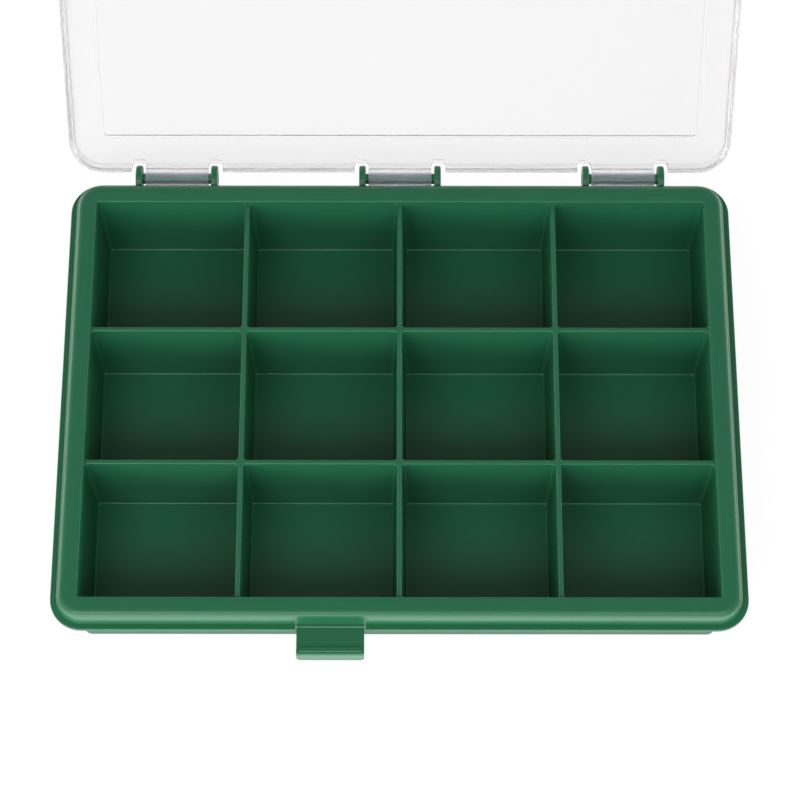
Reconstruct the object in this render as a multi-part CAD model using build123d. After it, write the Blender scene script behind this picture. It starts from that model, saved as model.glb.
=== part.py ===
from build123d import *
import os
from math import atan, degrees, radians, tan

# Compartment storage box: a moulded tray of twelve compartments with a clear lid
# on three pinned hinges at the back and a latch tab on a film hinge at the front.
# Millimetres. The origin is the centre of the tray's underside, +Z is up and +Y
# points to the hinge side. The lid is modelled shut and then swung to its stop.

# Compartments
columns = 4
rows = 3
pitch_x = 57.4
pitch_y = 52.7
divider_top = 1.7
compartment_depth = 36.0
wall_lean = 1.2
corner_radius = 1.4
floor_radius = 0.9
divider_edge_radius = 0.4
eject_disc_radius = 1.55
eject_disc_height = 0.08
eject_disc_root = 0.5

# Tray body
floor_thickness = 2.0
side_wall = 1.85
side_wall_lean = 0.45
base_edge_radius = 1.5

# Rolled rim and the ledge outside it
rim_above_dividers = 2.0
rim_drop = 6.6
rim_reach = 8.2
rim_lean = 0.9
rim_skin = 1.7
rim_corner_radius = 0.8
rim_crown_width = 2.4
rim_crown_drop = 0.34
rim_inner_radius = 0.35
rim_outer_radius = 3.0
ledge_width = 2.1
ledge_thickness = 1.6
ledge_edge_radius = 0.4

# Lid
lid_overhang = 0.75
skirt_wall = 1.9
skirt_clearance = 0.2
lid_clearance = 0.3
lid_panel = 1.7
lid_edge_radius = 3.2
lid_inner_radius = 2.2
seal_rib_gap = 0.4
seal_rib_width = 1.2
seal_rib_drop = 1.1
seal_rib_corner = 2.5
lid_open_angle = 125.0

# Hinges
hinge_count = 3
hinge_inset = 29.25
barrel_radius = 2.7
barrel_length = 23.8
barrel_gap = 0.33
hinge_rise = -0.6
ear_gap = 1.1
ear_thickness = 2.5
ear_radius = 5.0
ear_edge_radius = 0.7
pin_radius = 2.0
pin_recess = 0.2
pin_edge_radius = 0.3
pin_running_gap = 0.08
notch_side_gap = 1.8
notch_corner = 1.1
web_root = 0.95
stop_rib_length = 22.0
stop_rib_height = 1.0
stop_rib_reach = 1.5
stop_rib_gap = 0.05

# Latch
latch_x = -24.4
latch_width = 24.0
latch_step = 0.3
latch_thickness = 1.6
latch_reach = 9.2
latch_lip_drop = 5.8
latch_corner_radius = 2.0
latch_bend_radius = 1.0
latch_inside_radius = 0.5
latch_slit = 0.5
latch_flat_inset = 0.1
latch_flat_lean = 11.35
film_length = 0.9
film_thickness = 0.45
film_setback = 1.0
film_bevel = 0.8
snap_rib_height = 0.4
snap_rib_width = 1.6
snap_rib_setback = 1.2
snap_rib_side = 1.0
snap_lean = 0.2
snap_play = 0.12
catch_ridge_height = 0.4
catch_ridge_width = 0.8
latch_side_gap = 0.6
latch_face_gap = 0.5
catch_wall = 1.2
catch_wall_drop = 2.4

# Worked out from the sizes above
inner_x = columns * pitch_x - divider_top
inner_y = rows * pitch_y - divider_top
pocket_x = pitch_x - divider_top
pocket_y = pitch_y - divider_top
divider_z = floor_thickness + compartment_depth
rim_z = divider_z + rim_above_dividers
ledge_z = rim_z - rim_drop
ledge_under_z = ledge_z - ledge_thickness
draft = degrees(atan(wall_lean / compartment_depth))
side_draft = degrees(atan(side_wall_lean / ledge_under_z))
rim_draft = degrees(atan(rim_lean / rim_drop))
rim_foot_y = inner_y / 2 + rim_reach
ledge_reach = rim_reach + ledge_width
ledge_half_y = inner_y / 2 + ledge_reach
hinge_y = ledge_half_y + barrel_gap + barrel_radius
hinge_z = ledge_z + hinge_rise
hinge_axis = Axis((0, hinge_y, hinge_z), (1, 0, 0))
hinge_spacing = (inner_x - 2 * hinge_inset) / (hinge_count - 1)
ear_inner_x = barrel_length / 2 + ear_gap
ear_outer_x = ear_inner_x + ear_thickness
lid_reach = ledge_reach + lid_overhang
lid_half_y = inner_y / 2 + lid_reach
skirt_z = ledge_z + skirt_clearance
lid_under_z = rim_z + lid_clearance
lid_top_z = lid_under_z + lid_panel
film_y = -(ledge_half_y - film_setback)
film_mid_y = film_y - film_length / 2
latch_top_z = ledge_z - latch_step
film_mid_z = latch_top_z - film_thickness / 2
film_under_z = latch_top_z - film_thickness
latch_root_y = film_y - film_length
latch_end_y = -(ledge_half_y + latch_reach)
latch_under_z = latch_top_z - latch_thickness
latch_face_y = film_mid_y + film_thickness / 2
snap_rib_far_y = latch_end_y + snap_rib_setback
snap_rib_near_y = snap_rib_far_y + snap_rib_width
snap_length = latch_width - 2 * snap_rib_side
catch_face_y = latch_face_y + latch_face_gap
catch_ridge_z = film_mid_z + film_mid_y - snap_rib_near_y - snap_play
catch_wall_z = rim_z - catch_wall_drop
overcut = 5.0
level_tolerance = 0.01


def rounded_block(reach, low_z, high_z, taper=0.0):
    """Rounded block that stands the given reach outside the tray's inner walls."""
    outline = RectangleRounded(
        inner_x + 2 * reach, inner_y + 2 * reach, corner_radius + reach
    )
    return extrude(Pos(0, 0, low_z) * outline, amount=high_z - low_z, taper=taper)


def slab(low, high):
    """Plain block between two opposite corners."""
    size = [top - bottom for bottom, top in zip(low, high)]
    middle = [(top + bottom) / 2 for bottom, top in zip(low, high)]
    return Pos(*middle) * Box(*size)


def bar(profile, length, middle_x=0.0):
    """Prism along X from a list of (y, z) points, centred on middle_x."""
    section = Plane.YZ * make_face(Polyline(*profile, close=True))
    return Pos(middle_x - length / 2, 0, 0) * extrude(section, amount=length)


def hinge_rod(radius, length, middle_x):
    """Round rod along the hinge axis, centred on middle_x."""
    return Pos(middle_x, hinge_y, hinge_z) * Rot(0, 90, 0) * Cylinder(radius, length)


def top_edges(shape):
    """Edges round the highest face."""
    return shape.faces().sort_by(Axis.Z)[-1].edges()


def bottom_edges(shape):
    """Edges round the lowest face."""
    return shape.faces().sort_by(Axis.Z)[0].edges()


def steps(count, pitch):
    """Centres of a row of equal steps about zero."""
    return [(index - (count - 1) / 2) * pitch for index in range(count)]


def flared_cut(pocket, mouth_x, mouth_y, mouth_z, radius):
    """The pocket with open space above it, which also rounds the edge of its mouth."""
    half_x = mouth_x / 2 + radius
    half_y = mouth_y / 2 + radius
    space = slab(
        (-half_x - radius, -half_y - radius, mouth_z),
        (half_x + radius, half_y + radius, mouth_z + overcut),
    )
    cutter = pocket + space
    level = cutter.edges().filter_by_position(
        Axis.Z, mouth_z - level_tolerance, mouth_z + level_tolerance
    )
    mouth = [
        edge
        for edge in level
        if abs(edge.center().X) < half_x and abs(edge.center().Y) < half_y
    ]
    return fillet(mouth, radius)


def compartment_cut():
    """One compartment: leaning walls, round corners, and a round edge at its mouth."""
    mouth = Pos(0, 0, divider_z) * Rectangle(pocket_x, pocket_y)
    pocket = extrude(mouth, amount=compartment_depth, dir=(0, 0, -1), taper=draft)
    uprights = pocket.edges().filter_by(lambda edge: abs((edge % 0.5).Z) > 0.9)
    pocket = fillet(uprights, corner_radius)
    pocket = fillet(bottom_edges(pocket), floor_radius)
    return flared_cut(pocket, pocket_x, pocket_y, divider_z, divider_edge_radius)


def inside_outline(reach, z):
    """Outline of the rim's opening, a distance outside its walls."""
    return Pos(0, 0, z) * RectangleRounded(
        inner_x + 2 * reach, inner_y + 2 * reach, rim_corner_radius + reach
    )


def inside_cut():
    """The space above the dividers. The rim's top falls gently to it in two slopes."""
    middle_reach = rim_crown_width / 2
    middle_z = rim_z - rim_crown_drop / 3
    edge_z = rim_z - rim_crown_drop
    space = extrude(inside_outline(0.0, divider_z), amount=rim_above_dividers)
    space += loft([inside_outline(0.0, edge_z), inside_outline(middle_reach, middle_z)])
    edge = space.edges().filter_by_position(
        Axis.Z, edge_z - level_tolerance, edge_z + level_tolerance
    )
    space = fillet(edge, rim_inner_radius)
    top_z = rim_z + rim_crown_drop / 3
    top_reach = rim_crown_width / 2 * 3
    return space + loft([inside_outline(middle_reach, middle_z), inside_outline(top_reach, top_z)])


def tray_shell():
    """Body, ledge and hollow rolled rim, before the compartments are cut."""
    outline = RectangleRounded(
        inner_x + 2 * side_wall, inner_y + 2 * side_wall, corner_radius + side_wall
    )
    body = extrude(
        Pos(0, 0, ledge_under_z) * outline,
        amount=ledge_under_z,
        dir=(0, 0, -1),
        taper=side_draft,
    )
    body = fillet(bottom_edges(body), base_edge_radius)
    ledge = rounded_block(ledge_reach, ledge_under_z, ledge_z)
    ledge = fillet(top_edges(ledge) + bottom_edges(ledge), ledge_edge_radius)
    rim = rounded_block(rim_reach, ledge_z, rim_z, rim_draft)
    rim = fillet(top_edges(rim), rim_outer_radius)
    hollow_reach = rim_reach - rim_skin
    hollow = rounded_block(hollow_reach, ledge_z, rim_z - rim_skin, rim_draft)
    hollow = fillet(top_edges(hollow), rim_outer_radius - rim_skin)
    hollow += rounded_block(hollow_reach, ledge_under_z - overcut, ledge_z)
    hollow -= rounded_block(side_wall, ledge_under_z - 2 * overcut, rim_z)
    return body + ledge + rim - hollow


def hinge_ear(middle_x, side):
    """Ear that carries one end of a hinge pin."""
    outline = make_hull(
        (Pos(hinge_y, hinge_z) * Circle(ear_radius)).edges()
        + (
            Pos(rim_foot_y - rim_skin / 4, ledge_z) * Rectangle(rim_skin / 2, 2 * ledge_thickness)
        ).edges()
    )
    ear = extrude(Plane.YZ * outline, amount=ear_thickness)
    sides = ear.faces().sort_by(Axis.X)
    ear = fillet(sides[0].edges() + sides[-1].edges(), ear_edge_radius)
    ear_middle_x = middle_x + side * (ear_inner_x + ear_outer_x) / 2
    return Pos(ear_middle_x - ear_thickness / 2, 0, 0) * ear


def latch_room():
    """What is cut from the rim and the ledge to set the latch free."""
    half_x = latch_width / 2 + latch_slit
    front_y = -(ledge_half_y + overcut)
    low_z = ledge_under_z - overcut
    flat_y = -(rim_foot_y - latch_flat_inset)
    flat = bar(
        [
            (flat_y, ledge_z),
            (flat_y - overcut, ledge_z),
            (flat_y - overcut, rim_z),
            (flat_y + rim_drop * tan(radians(latch_flat_lean)), rim_z),
        ],
        2 * half_x,
        latch_x,
    )
    gap = slab((latch_x - half_x, front_y, low_z), (latch_x + half_x, film_y, rim_z))
    slits = [
        slab(
            (latch_x + middle_x - latch_slit / 2, front_y, low_z),
            (latch_x + middle_x + latch_slit / 2, flat_y, rim_z),
        )
        for middle_x in steps(2, latch_width + latch_slit)
    ]
    bevel = bar(
        [
            (film_y, film_under_z),
            (film_y + film_bevel, ledge_under_z),
            (film_y + film_bevel, low_z),
            (film_y, low_z),
        ],
        latch_width,
        latch_x,
    )
    step = bar(
        [
            (film_y - overcut, latch_top_z),
            (film_y, latch_top_z),
            (film_y + latch_step, ledge_z),
            (film_y - overcut, ledge_z),
        ],
        latch_width,
        latch_x,
    )
    return [flat, gap, bevel, step] + slits


def make_tray():
    """Tray moulding: body, dividers, rolled rim, ledge and hinge ears."""
    tray = tray_shell()
    for middle_x in steps(hinge_count, hinge_spacing):
        tray += hinge_ear(middle_x, -1)
        tray += hinge_ear(middle_x, 1)
    tray -= inside_cut()
    inside = rounded_block(0.0, floor_thickness, rim_z + overcut)
    compartment = compartment_cut()
    tray -= [
        (Pos(x, y, 0) * compartment) & inside
        for x in steps(columns, pitch_x)
        for y in steps(rows, pitch_y)
    ]
    disc_length = eject_disc_root + eject_disc_height
    disc_z = divider_z + eject_disc_height - disc_length / 2
    for x in steps(columns - 1, pitch_x):
        for y in steps(rows - 1, pitch_y):
            tray += Pos(x, y, disc_z) * Cylinder(eject_disc_radius, disc_length)
    tray -= latch_room()
    tray -= hinge_rod(pin_radius, inner_x, 0.0)
    return tray


def make_pin(middle_x):
    """Hinge pin through two ears and the barrel between them."""
    pin = hinge_rod(pin_radius, 2 * (ear_outer_x - pin_recess), middle_x)
    ends = pin.faces().sort_by(Axis.X)
    return fillet(ends[0].edges() + ends[-1].edges(), pin_edge_radius)


def catch_plate():
    """Wall that steps in behind the latch, between the lid's skirt and the rim."""
    half_x = latch_width / 2 + latch_side_gap + catch_wall
    return slab(
        (latch_x - half_x, -lid_half_y + skirt_wall / 2, catch_wall_z),
        (latch_x + half_x, catch_face_y + catch_wall, lid_under_z),
    )


def latch_bay():
    """Space in the lid's front for the latch, from the skirt's foot to the panel."""
    half_x = latch_width / 2 + latch_side_gap
    return slab(
        (latch_x - half_x, -(lid_half_y + overcut), skirt_z - overcut),
        (latch_x + half_x, catch_face_y, lid_top_z + overcut),
    )


def catch_ridge():
    """Ridge on the catch wall that the latch's rib snaps over."""
    low_z = catch_ridge_z - catch_ridge_width
    return bar(
        [
            (catch_face_y + catch_wall / 2, low_z - snap_lean),
            (catch_face_y, low_z - snap_lean),
            (catch_face_y - catch_ridge_height, low_z + snap_lean),
            (catch_face_y - catch_ridge_height, catch_ridge_z),
            (catch_face_y + catch_wall / 2, catch_ridge_z),
        ],
        snap_length,
        latch_x,
    )


def seal_rib():
    """Rib under the panel that centres the lid inside the rim."""
    outer_x = inner_x - 2 * seal_rib_gap
    outer_y = inner_y - 2 * seal_rib_gap
    outer = RectangleRounded(outer_x, outer_y, seal_rib_corner)
    inner = RectangleRounded(
        outer_x - 2 * seal_rib_width,
        outer_y - 2 * seal_rib_width,
        seal_rib_corner - seal_rib_width,
    )
    ring = Pos(0, 0, lid_under_z - seal_rib_drop) * (outer - inner)
    return extrude(ring, amount=seal_rib_drop + lid_panel / 2)


def hinge_notch(middle_x, side):
    """Notch in the skirt that clears one ear."""
    near_x = barrel_length / 2
    far_x = ear_outer_x + notch_side_gap
    notch = slab(
        (near_x, lid_half_y - skirt_wall - lid_clearance, skirt_z - overcut),
        (far_x, lid_half_y + overcut, lid_under_z),
    )
    notch = fillet(top_edges(notch).filter_by(Axis.Y), notch_corner)
    return Pos(middle_x, 0, 0) * (notch if side > 0 else mirror(notch, about=Plane.YZ))


def hinge_web(middle_x):
    """Web between the skirt and the barrel."""
    inner_web_y = lid_half_y - web_root
    return bar(
        [
            (inner_web_y, skirt_z),
            (hinge_y, skirt_z),
            (hinge_y, hinge_z + barrel_radius),
            (inner_web_y, hinge_z + barrel_radius + hinge_y - lid_half_y),
        ],
        barrel_length,
        middle_x,
    )


def stop_rib(middle_x):
    """Rib along the open lid's barrel that comes up under the ledge and stops the lid."""
    tip_y = ledge_half_y - stop_rib_reach
    face_z = ledge_under_z - stop_rib_gap
    return bar(
        [
            (tip_y, face_z - stop_rib_height),
            (tip_y, face_z),
            (hinge_y, face_z),
            (hinge_y, hinge_z - barrel_radius),
        ],
        stop_rib_length,
        middle_x,
    )


def make_lid():
    """Clear lid: panel, skirt, seal rib, catch for the latch and three barrels."""
    lid = rounded_block(lid_reach, skirt_z, lid_top_z)
    lid = fillet(top_edges(lid), lid_edge_radius)
    room = rounded_block(lid_reach - skirt_wall, skirt_z, lid_under_z)
    room = fillet(top_edges(room), lid_inner_radius)
    room += rounded_block(lid_reach - skirt_wall, skirt_z - overcut, skirt_z)
    lid -= room
    lid += [seal_rib(), catch_plate()]
    lid -= latch_bay()
    lid += catch_ridge()
    for middle_x in steps(hinge_count, hinge_spacing):
        lid -= [hinge_notch(middle_x, -1), hinge_notch(middle_x, 1)]
        lid += [hinge_web(middle_x), hinge_rod(barrel_radius, barrel_length, middle_x)]
    lid = lid.rotate(hinge_axis, -lid_open_angle)
    for middle_x in steps(hinge_count, hinge_spacing):
        lid += stop_rib(middle_x)
    return lid - hinge_rod(pin_radius + pin_running_gap, inner_x, 0.0)


def make_latch():
    """Latch tab: flat plate, down-turned lip and snap rib, with a bevelled root."""
    plate = bar(
        [
            (latch_root_y, latch_top_z),
            (latch_root_y, film_under_z),
            (latch_root_y - film_bevel, latch_under_z),
            (latch_end_y + latch_thickness, latch_under_z),
            (latch_end_y + latch_thickness, latch_top_z - latch_lip_drop),
            (latch_end_y, latch_top_z - latch_lip_drop),
            (latch_end_y, latch_top_z),
        ],
        latch_width,
        latch_x,
    )
    outer_bend = top_edges(plate).filter_by(Axis.X).sort_by(Axis.Y)[0]
    plate = fillet(outer_bend, latch_bend_radius)
    inner_bend = (
        plate.edges()
        .filter_by(Axis.X)
        .filter_by_position(Axis.Z, latch_under_z - level_tolerance, latch_under_z + level_tolerance)
        .sort_by(Axis.Y)[0]
    )
    plate = fillet(inner_bend, latch_inside_radius)
    plate = fillet(bottom_edges(plate).filter_by(Axis.Y), latch_corner_radius)
    rib = bar(
        [
            (snap_rib_far_y, latch_top_z),
            (snap_rib_far_y + snap_lean, latch_top_z + snap_rib_height),
            (snap_rib_near_y, latch_top_z + snap_rib_height),
            (snap_rib_near_y, latch_top_z - latch_thickness / 2),
            (snap_rib_far_y, latch_top_z - latch_thickness / 2),
        ],
        snap_length,
        latch_x,
    )
    return plate + rib


def make_film():
    """Film hinge between the ledge and the latch, flush with the latch's top."""
    return slab(
        (latch_x - latch_width / 2, latch_root_y, film_under_z),
        (latch_x + latch_width / 2, film_y, latch_top_z),
    )


nodes = {
    "base_tray": make_tray(),
    "lid": make_lid(),
    "front_latch": make_latch(),
    "latch_film_hinge": make_film(),
}
pin_names = ["hinge_pin_left", "hinge_pin_centre", "hinge_pin_right"]
for pin_name, pin_x in zip(pin_names, steps(hinge_count, hinge_spacing)):
    nodes[pin_name] = make_pin(pin_x)

os.makedirs("parts", exist_ok=True)
for name, shape in nodes.items():
    export_step(shape, f"parts/{name}.step")
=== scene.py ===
import bpy
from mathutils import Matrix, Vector


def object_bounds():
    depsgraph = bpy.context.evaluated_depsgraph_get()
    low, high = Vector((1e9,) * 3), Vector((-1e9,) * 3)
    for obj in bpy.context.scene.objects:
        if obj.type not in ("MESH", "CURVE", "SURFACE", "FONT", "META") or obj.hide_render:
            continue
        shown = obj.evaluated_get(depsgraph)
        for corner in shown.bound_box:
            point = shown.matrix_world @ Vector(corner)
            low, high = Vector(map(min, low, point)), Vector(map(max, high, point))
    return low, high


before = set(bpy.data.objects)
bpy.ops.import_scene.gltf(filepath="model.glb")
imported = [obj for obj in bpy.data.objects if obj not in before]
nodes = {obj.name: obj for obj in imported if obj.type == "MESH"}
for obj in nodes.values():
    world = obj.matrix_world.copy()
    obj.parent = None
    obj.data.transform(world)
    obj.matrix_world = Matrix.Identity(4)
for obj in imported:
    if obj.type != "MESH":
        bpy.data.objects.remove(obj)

cad_low, cad_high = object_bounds()


# Tray. One deep moulding in glossy green polypropylene, with the floor, walls and
# dividers, the rolled rim, the ledge and the hinge ears all in one. The steel mould
# leaves it shiny, with a faint ripple in the flat stretches.

GREEN = (0.0155, 0.140, 0.061, 1.0)
GREEN_DEEP = (0.0135, 0.124, 0.054, 1.0)
GREEN_ROUGHNESS_LOW, GREEN_ROUGHNESS_HIGH = 0.30, 0.38
GREEN_SPECULAR = 0.40
RIPPLE_DEPTH = 0.00012
PLASTIC_IOR = 1.49
DRIFT_PER_METRE, DRIFT_DETAIL = 14.0, 2.0
GRAIN_PER_METRE, GRAIN_DETAIL = 260.0, 3.0
RIPPLE_PER_METRE, RIPPLE_DETAIL = 42.0, 1.0


def new_material(name):
    """A material with its node tree and its Principled shader."""
    material = bpy.data.materials.new(name)
    material.use_nodes = True
    tree = material.node_tree
    return material, tree, tree.nodes["Principled BSDF"]


def object_place(tree):
    """Output of a node that gives a point's place on its own piece."""
    return tree.nodes.new("ShaderNodeTexCoord").outputs["Object"]


def noise(tree, place, per_metre, detail):
    """Output of a noise pattern with so many features to the metre."""
    texture = tree.nodes.new("ShaderNodeTexNoise")
    texture.inputs["Scale"].default_value = per_metre
    texture.inputs["Detail"].default_value = detail
    tree.links.new(place, texture.inputs["Vector"])
    return texture.outputs["Fac"]


def blended(tree, factor, first, second):
    """Output of a node that goes from the first colour to the second with the factor."""
    node = tree.nodes.new("ShaderNodeMix")
    node.data_type = "RGBA"
    tree.links.new(factor, node.inputs["Factor"])
    for socket, colour in ((node.inputs["A"], first), (node.inputs["B"], second)):
        if isinstance(colour, bpy.types.NodeSocket):
            tree.links.new(colour, socket)
        else:
            socket.default_value = colour
    return node.outputs["Result"]


def moulded_finish_group():
    """Slow colour drift, roughness and ripple of a moulded plastic skin."""
    group = bpy.data.node_groups.new("moulded_finish", "ShaderNodeTree")
    face = group.interface
    for name, kind in (("Place", "NodeSocketVector"), ("Light Colour", "NodeSocketColor"),
                       ("Deep Colour", "NodeSocketColor"), ("Shine Low", "NodeSocketFloat"),
                       ("Shine High", "NodeSocketFloat"), ("Ripple Depth", "NodeSocketFloat")):
        face.new_socket(name, in_out="INPUT", socket_type=kind)
    for name, kind in (("Colour", "NodeSocketColor"), ("Roughness", "NodeSocketFloat"),
                       ("Normal", "NodeSocketVector")):
        face.new_socket(name, in_out="OUTPUT", socket_type=kind)
    given = group.nodes.new("NodeGroupInput").outputs
    results = group.nodes.new("NodeGroupOutput").inputs
    links = group.links
    drift = noise(group, given["Place"], DRIFT_PER_METRE, DRIFT_DETAIL)
    grain = noise(group, given["Place"], GRAIN_PER_METRE, GRAIN_DETAIL)
    ripple = noise(group, given["Place"], RIPPLE_PER_METRE, RIPPLE_DETAIL)
    links.new(blended(group, drift, given["Light Colour"], given["Deep Colour"]), results["Colour"])
    shine = group.nodes.new("ShaderNodeMapRange")
    links.new(grain, shine.inputs["Value"])
    links.new(given["Shine Low"], shine.inputs["To Min"])
    links.new(given["Shine High"], shine.inputs["To Max"])
    links.new(shine.outputs["Result"], results["Roughness"])
    bump = group.nodes.new("ShaderNodeBump")
    links.new(ripple, bump.inputs["Height"])
    links.new(given["Ripple Depth"], bump.inputs["Distance"])
    links.new(bump.outputs["Normal"], results["Normal"])
    return group


moulded_finish = moulded_finish_group()


def green_plastic():
    """Glossy green polypropylene."""
    material, tree, shader = new_material("green_polypropylene")
    finish = tree.nodes.new("ShaderNodeGroup")
    finish.node_tree = moulded_finish
    finish.inputs["Light Colour"].default_value = GREEN
    finish.inputs["Deep Colour"].default_value = GREEN_DEEP
    finish.inputs["Shine Low"].default_value = GREEN_ROUGHNESS_LOW
    finish.inputs["Shine High"].default_value = GREEN_ROUGHNESS_HIGH
    finish.inputs["Ripple Depth"].default_value = RIPPLE_DEPTH
    tree.links.new(object_place(tree), finish.inputs["Place"])
    tree.links.new(finish.outputs["Colour"], shader.inputs["Base Color"])
    tree.links.new(finish.outputs["Roughness"], shader.inputs["Roughness"])
    tree.links.new(finish.outputs["Normal"], shader.inputs["Normal"])
    shader.inputs["IOR"].default_value = PLASTIC_IOR
    shader.inputs["Specular IOR Level"].default_value = GREEN_SPECULAR
    return material


def dress(names, material):
    """Gives each of the named pieces this material alone."""
    for name in names:
        nodes[name].data.materials.clear()
        nodes[name].data.materials.append(material)


green = green_plastic()
dress(("base_tray",), green)


# Latch and its film hinge. A flat tab with a down-turned lip at the front, left of the
# middle, and the thin strip on which it bends up. Both are moulded in one with the tray,
# in the same green plastic.

dress(("front_latch", "latch_film_hinge"), green)


# Hinge pins. Three straight rods of the same green plastic, pressed into the ears from
# the side, on which the lid's barrels turn. They show as a grey core in the barrels.

dress(("hinge_pin_left", "hinge_pin_centre", "hinge_pin_right"), green)


# Lid. One thin moulding in clear, faintly milky plastic, with a skirt all round and
# three barrels on webs at its hinge edge. Its colour has a painted grey shade where it
# is seen edge-on, it is hazier there, and its barrels are the haziest part.

CLEAR = (0.865, 0.855, 0.860, 1.0)
PAINTED_EDGE_SHADE = (0.40, 0.40, 0.40, 1.0)
CLEAR_BARREL = (0.84, 0.78, 0.87, 1.0)
CLEAR_SHEEN = (0.04, 0.04, 0.04, 1.0)
CLEAR_SHADOW = (0.80, 0.80, 0.80, 1.0)
CLEAR_TRANSMISSION = 0.95
HAZE, HAZE_EDGE_ON, HAZE_BARREL = 0.27, 0.6, 0.9
EVEN_TURN = 0.5
EDGE_SHADE_TURN = (0.5, 0.95)
HAZE_TURN = (0.72, 0.98)
HINGE_Y, HINGE_Z = 0.09153, 0.0328
BARREL_COLOUR_END = (0.0028, 0.0031)
BARREL_HAZE_END = (0.0029, 0.0036)


def larger(tree, first, second):
    """Output of a node that passes on the larger of two values."""
    node = tree.nodes.new("ShaderNodeMath")
    node.operation = "MAXIMUM"
    tree.links.new(first, node.inputs[0])
    tree.links.new(second, node.inputs[1])
    return node.outputs[0]


def ranged(tree, value, low, high, between=(0.0, 1.0)):
    """Output of a node that goes from low to high while the value goes between two limits."""
    node = tree.nodes.new("ShaderNodeMapRange")
    node.inputs["From Min"].default_value, node.inputs["From Max"].default_value = between
    node.inputs["To Min"].default_value = low
    node.inputs["To Max"].default_value = high
    tree.links.new(value, node.inputs["Value"])
    return node.outputs["Result"]


def distance_from_hinge(tree):
    """Distance of a point from the line through the middle of the pins."""
    across = tree.nodes.new("ShaderNodeVectorMath")
    across.operation = "MULTIPLY_ADD"
    across.inputs[1].default_value = (0.0, 1.0, 1.0)
    across.inputs[2].default_value = (0.0, -HINGE_Y, -HINGE_Z)
    tree.links.new(object_place(tree), across.inputs[0])
    length = tree.nodes.new("ShaderNodeVectorMath")
    length.operation = "LENGTH"
    tree.links.new(across.outputs["Vector"], length.inputs[0])
    return length.outputs["Value"]


def clear_plastic():
    """Clear plastic, with painted grey shade edge-on, that lets the lamps through to what lies
    under it.
    """
    material, tree, shader = new_material("clear_plastic")
    facing = tree.nodes.new("ShaderNodeLayerWeight")
    facing.inputs["Blend"].default_value = EVEN_TURN
    turn = facing.outputs["Facing"]
    distance = distance_from_hinge(tree)
    # Painted shade: the colour turns grey where the lid is seen edge-on.
    panel_with_edge_shade = blended(tree, ranged(tree, turn, 0.0, 1.0, EDGE_SHADE_TURN), CLEAR, PAINTED_EDGE_SHADE)
    past_barrel = ranged(tree, distance, 0.0, 1.0, BARREL_COLOUR_END)
    colour = blended(tree, past_barrel, CLEAR_BARREL, panel_with_edge_shade)
    tree.links.new(colour, shader.inputs["Base Color"])
    barrel_haze = ranged(tree, distance, HAZE_BARREL, HAZE, BARREL_HAZE_END)
    edge_haze = ranged(tree, turn, HAZE, HAZE_EDGE_ON, HAZE_TURN)
    tree.links.new(larger(tree, barrel_haze, edge_haze), shader.inputs["Roughness"])
    shader.inputs["Transmission Weight"].default_value = CLEAR_TRANSMISSION
    shader.inputs["IOR"].default_value = PLASTIC_IOR
    shader.inputs["Specular Tint"].default_value = CLEAR_SHEEN
    rays = tree.nodes.new("ShaderNodeLightPath").outputs
    through = tree.nodes.new("ShaderNodeBsdfTransparent")
    through.inputs["Color"].default_value = CLEAR_SHADOW
    choice = tree.nodes.new("ShaderNodeMixShader")
    tree.links.new(rays["Is Shadow Ray"], choice.inputs["Fac"])
    tree.links.new(shader.outputs["BSDF"], choice.inputs[1])
    tree.links.new(through.outputs["BSDF"], choice.inputs[2])
    tree.links.new(choice.outputs["Shader"], tree.nodes["Material Output"].inputs["Surface"])
    return material


dress(("lid",), clear_plastic())


# Floor. A plain pale sheet that the box stands on. The camera, and rays that meet it
# by a glossy face or through the lid, see it as white with the box's soft shadow.

FLOOR_SIZE = 12.0
FLOOR_COLOUR = (0.8, 0.8, 0.8, 1.0)
FLOOR_ROUGHNESS = 0.9
SEEN_FLOOR_COLOUR = (0.1, 0.1, 0.1, 1.0)
SEEN_FLOOR_LIGHT = 0.93
WHITE = (1.0, 1.0, 1.0, 1.0)

bpy.ops.object.select_all(action="DESELECT")
bpy.ops.mesh.primitive_plane_add(size=FLOOR_SIZE, location=(0, 0, cad_low.z))
floor = bpy.context.object
floor.name = "floor"


def seen_rays(tree, glossy=None):
    """Output that is 1 for what the camera sees, directly, by gloss or through the lid."""
    rays = tree.nodes.new("ShaderNodeLightPath").outputs
    direct = larger(tree, rays["Is Camera Ray"], glossy or rays["Is Glossy Ray"])
    return larger(tree, direct, rays["Is Transmission Ray"])


def floor_finish():
    """Pale matt floor that shows as white where it is seen."""
    material, tree, shader = new_material("pale_floor")
    seen = seen_rays(tree)
    colour = blended(tree, seen, FLOOR_COLOUR, SEEN_FLOOR_COLOUR)
    tree.links.new(colour, shader.inputs["Base Color"])
    shader.inputs["Roughness"].default_value = FLOOR_ROUGHNESS
    shader.inputs["Specular IOR Level"].default_value = 0.0
    shader.inputs["Emission Color"].default_value = WHITE
    glow = ranged(tree, seen, 0.0, SEEN_FLOOR_LIGHT)
    tree.links.new(glow, shader.inputs["Emission Strength"])
    return material


floor.data.materials.append(floor_finish())


# World. A pale room, brighter towards its walls than overhead. The camera and rays
# through the lid see it as plain white, and so do glossy faces that mirror its walls.
# Towards the ceiling it mirrors darker.

WALL_LIGHT, CEILING_LIGHT = 0.95, 0.24
WALL_TO_CEILING = (0.1, 0.7)
MIRRORED_WALL, MIRRORED_CEILING = 1.0, 0.42
MIRRORED_WALL_TO_CEILING = (0.35, 0.75)

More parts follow.
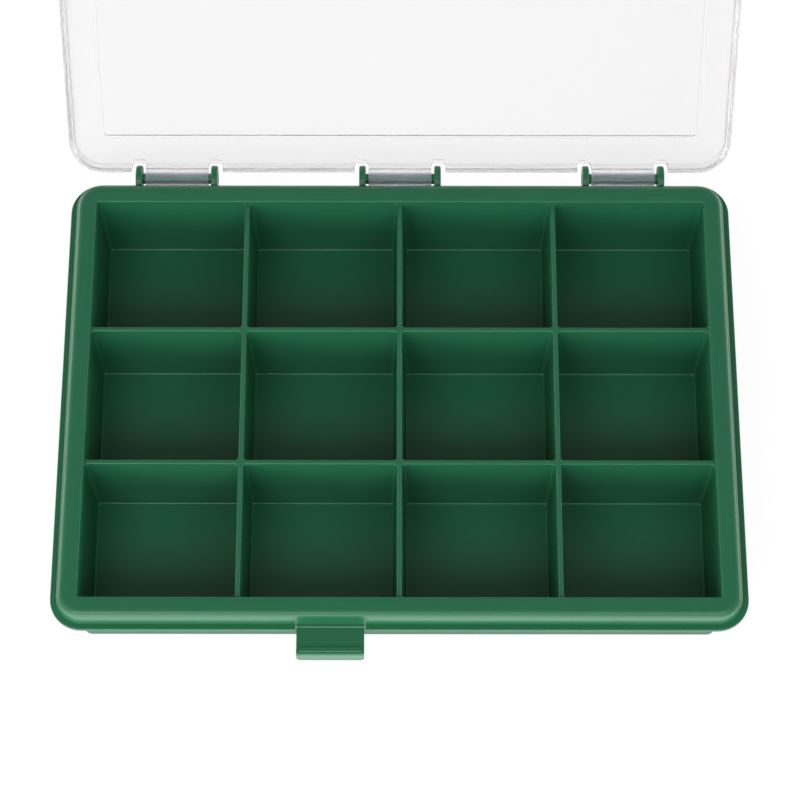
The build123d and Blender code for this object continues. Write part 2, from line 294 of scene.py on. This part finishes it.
world = bpy.data.worlds.new("studio")
bpy.context.scene.world = world
world.use_nodes = True
sky = world.node_tree
background = sky.nodes["Background"]
background.inputs["Color"].default_value = WHITE
direction = sky.nodes.new("ShaderNodeTexCoord")
split = sky.nodes.new("ShaderNodeSeparateXYZ")
sky.links.new(direction.outputs["Generated"], split.inputs["Vector"])
height = split.outputs["Z"]
mirrored_room = ranged(sky, height, MIRRORED_WALL, MIRRORED_CEILING, MIRRORED_WALL_TO_CEILING)
mirrored = sky.nodes.new("ShaderNodeMath")
mirrored.operation = "MULTIPLY"
glossy_rays = sky.nodes.new("ShaderNodeLightPath").outputs["Is Glossy Ray"]
sky.links.new(glossy_rays, mirrored.inputs[0])
sky.links.new(mirrored_room, mirrored.inputs[1])
seen_room = seen_rays(sky, glossy=mirrored.outputs[0])
room = ranged(sky, height, WALL_LIGHT, CEILING_LIGHT, WALL_TO_CEILING)
sky.links.new(larger(sky, seen_room, room), background.inputs["Strength"])


# Lamps. A broad, low soft box in front on the left lights the compartments' far walls,
# and two above the front light what faces up. A low strip and a pool of light on the
# floor, both in front, show only as gloss on the box, and two side strips draw its ends.

BOX_FOOT, BOX_MIDDLE, BOX_RIM = (0, 0, 0), (0, 0, 0.03), (0, 0, 0.035)


def soft_box(name, place, target, width, height, power):
    """Rectangular lamp at a place, turned to a target."""
    data = bpy.data.lights.new(name, "AREA")
    data.shape = "RECTANGLE"
    data.size = width
    data.size_y = height
    data.energy = power
    lamp = bpy.data.objects.new(name, data)
    bpy.context.scene.collection.objects.link(lamp)
    lamp.location = place
    lamp.rotation_euler = (Vector(target) - Vector(place)).to_track_quat("-Z", "Y").to_euler()
    return lamp


soft_box("key", (-0.36, -0.98, 0.31), BOX_MIDDLE, 1.1, 0.32, 5.4)
soft_box("fill", (-0.40, -0.80, 1.05), BOX_FOOT, 0.6, 0.5, 6.0)
soft_box("right fill", (0.42, -0.80, 1.05), BOX_FOOT, 0.6, 0.5, 3.6)
strip = soft_box("strip", (0, -1.0, 0.075), BOX_RIM, 1.6, 0.15, 3.5)
floor_glow = soft_box("floor glow", (0, -0.36, 0.003), (0, -0.36, 1.0), 1.0, 0.5, 4.7)
floor_glow.visible_camera = False
for lamp in (strip, floor_glow):
    lamp.visible_diffuse = False
    lamp.visible_transmission = False
soft_box("left strip", (-1.0, 0.42, 0.11), BOX_RIM, 1.0, 0.2, 5.0)
soft_box("right strip", (1.0, 0.42, 0.11), BOX_RIM, 1.0, 0.2, 5.0)


# Camera. Above and in front of the box, as the photograph was taken. Its place and lens
# were worked out from the dividers, the ledge and the hinges.

CAMERA_PLACE = Vector((0.00062, -0.37834, 0.92487))
CAMERA_TARGET = Vector((0.00013, -0.00203, 0.038))
CAMERA_LENS = 118.82
CAMERA_SENSOR = 36.0

camera_data = bpy.data.cameras.new("camera")
camera_data.sensor_width = CAMERA_SENSOR
camera_data.lens = CAMERA_LENS
camera = bpy.data.objects.new("camera", camera_data)
bpy.context.scene.collection.objects.link(camera)
camera.location = CAMERA_PLACE
camera.rotation_euler = (CAMERA_TARGET - CAMERA_PLACE).to_track_quat("-Z", "Y").to_euler()
bpy.context.scene.camera = camera
bpy.context.scene.view_settings.view_transform = "Standard"
